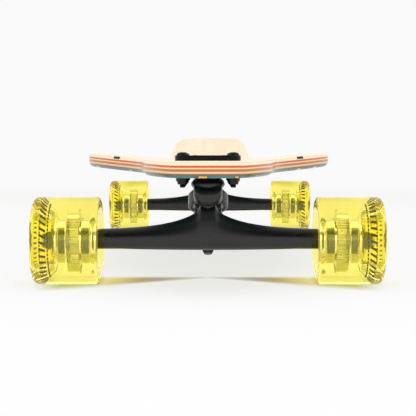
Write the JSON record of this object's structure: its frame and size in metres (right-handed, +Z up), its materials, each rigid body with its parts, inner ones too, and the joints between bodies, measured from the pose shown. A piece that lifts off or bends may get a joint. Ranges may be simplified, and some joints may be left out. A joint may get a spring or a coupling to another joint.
{
  "type": "skateboard",
  "caption": "Drop-through cruiser longboard: laminated deck with raised rails and a kicked tail, sprung steering trucks and wide cast wheels on ball bearings.",
  "frame": {"origin": "middle of the box that the board fills, on the floor that its wheels stand on", "axes": "+Y along the board from nose to tail, +X to the left of a rider who faces the nose, +Z up through the deck"},
  "size_m": [0.2864, 1.0451, 0.136],
  "materials": {
    "deck_wood": "clear satin lacquer over a pale maple top veneer, dyed plies on the edge, painted underside",
    "truck_castings": "satin black powder coat",
    "pivot_cup": "moulded",
    "plain_steel": "zinc plated",
    "mount_hardware": "black oxide",
    "bushings": "cast urethane",
    "bearings": "ground steel",
    "wheel_urethane": "translucent cast urethane",
    "wheel_core": "translucent moulded nylon"
  },
  "bodies": {
    "board": {"deck": "deck_wood", "front_baseplate": "truck_castings", "front_pivot_cup": "pivot_cup", "front_kingpin": "plain_steel", "front_kingpin_nut": "plain_steel", "front_board_side_bushing": "bushings", "front_road_side_bushing": "bushings", "front_bushing_washer": "plain_steel", "front_mount_bolt_outer_left": "mount_hardware", "front_mount_nut_outer_left": "mount_hardware", "front_mount_bolt_outer_right": "mount_hardware", "front_mount_nut_outer_right": "mount_hardware", "front_mount_bolt_inner_left": "mount_hardware", "front_mount_nut_inner_left": "mount_hardware", "front_mount_bolt_inner_right": "mount_hardware", "front_mount_nut_inner_right": "mount_hardware", "rear_baseplate": "truck_castings", "rear_pivot_cup": "pivot_cup", "rear_kingpin": "plain_steel", "rear_kingpin_nut": "plain_steel", "rear_board_side_bushing": "bushings", "rear_road_side_bushing": "bushings", "rear_bushing_washer": "plain_steel", "rear_mount_bolt_outer_left": "mount_hardware", "rear_mount_nut_outer_left": "mount_hardware", "rear_mount_bolt_outer_right": "mount_hardware", "rear_mount_nut_outer_right": "mount_hardware", "rear_mount_bolt_inner_left": "mount_hardware", "rear_mount_nut_inner_left": "mount_hardware", "rear_mount_bolt_inner_right": "mount_hardware", "rear_mount_nut_inner_right": "mount_hardware"},
    "front_hanger": {"front_hanger": "truck_castings", "front_axle": "plain_steel", "front_left_bearing_spacer": "plain_steel", "front_left_axle_nut": "plain_steel", "front_right_bearing_spacer": "plain_steel", "front_right_axle_nut": "plain_steel"},
    "front_left_wheel": {"front_left_tyre": "wheel_urethane", "front_left_wheel_core": "wheel_core", "front_left_inner_bearing": "bearings", "front_left_outer_bearing": "bearings"},
    "front_right_wheel": {"front_right_tyre": "wheel_urethane", "front_right_wheel_core": "wheel_core", "front_right_inner_bearing": "bearings", "front_right_outer_bearing": "bearings"},
    "rear_hanger": {"rear_hanger": "truck_castings", "rear_axle": "plain_steel", "rear_left_bearing_spacer": "plain_steel", "rear_left_axle_nut": "plain_steel", "rear_right_bearing_spacer": "plain_steel", "rear_right_axle_nut": "plain_steel"},
    "rear_left_wheel": {"rear_left_tyre": "wheel_urethane", "rear_left_wheel_core": "wheel_core", "rear_left_inner_bearing": "bearings", "rear_left_outer_bearing": "bearings"},
    "rear_right_wheel": {"rear_right_tyre": "wheel_urethane", "rear_right_wheel_core": "wheel_core", "rear_right_inner_bearing": "bearings", "rear_right_outer_bearing": "bearings"}
  },
  "joints": [
    {"name": "front_steer", "type": "hinge", "parent": "board", "child": "front_hanger", "pos_m": [0, -0.399, 0.05], "axis": [0, -0.809, 0.5878], "range_deg": [-15, 15], "stiffness_Nm_per_rad": 20, "deforming": ["front_board_side_bushing", "front_road_side_bushing"]},
    {"name": "rear_steer", "type": "hinge", "parent": "board", "child": "rear_hanger", "pos_m": [0, 0.339, 0.05], "axis": [0, 0.809, 0.5878], "range_deg": [-15, 15], "stiffness_Nm_per_rad": 20, "deforming": ["rear_board_side_bushing", "rear_road_side_bushing"]},
    {"name": "front_left_wheel_spin", "type": "hinge", "parent": "front_hanger", "child": "front_left_wheel", "pos_m": [0.11575, -0.425, 0.036], "axis": [1, 0, 0], "continuous": true},
    {"name": "front_right_wheel_spin", "type": "hinge", "parent": "front_hanger", "child": "front_right_wheel", "pos_m": [-0.11575, -0.425, 0.036], "axis": [1, 0, 0], "continuous": true},
    {"name": "rear_left_wheel_spin", "type": "hinge", "parent": "rear_hanger", "child": "rear_left_wheel", "pos_m": [0.11575, 0.365, 0.036], "axis": [1, 0, 0], "continuous": true},
    {"name": "rear_right_wheel_spin", "type": "hinge", "parent": "rear_hanger", "child": "rear_right_wheel", "pos_m": [-0.11575, 0.365, 0.036], "axis": [1, 0, 0], "continuous": true}
  ]
}
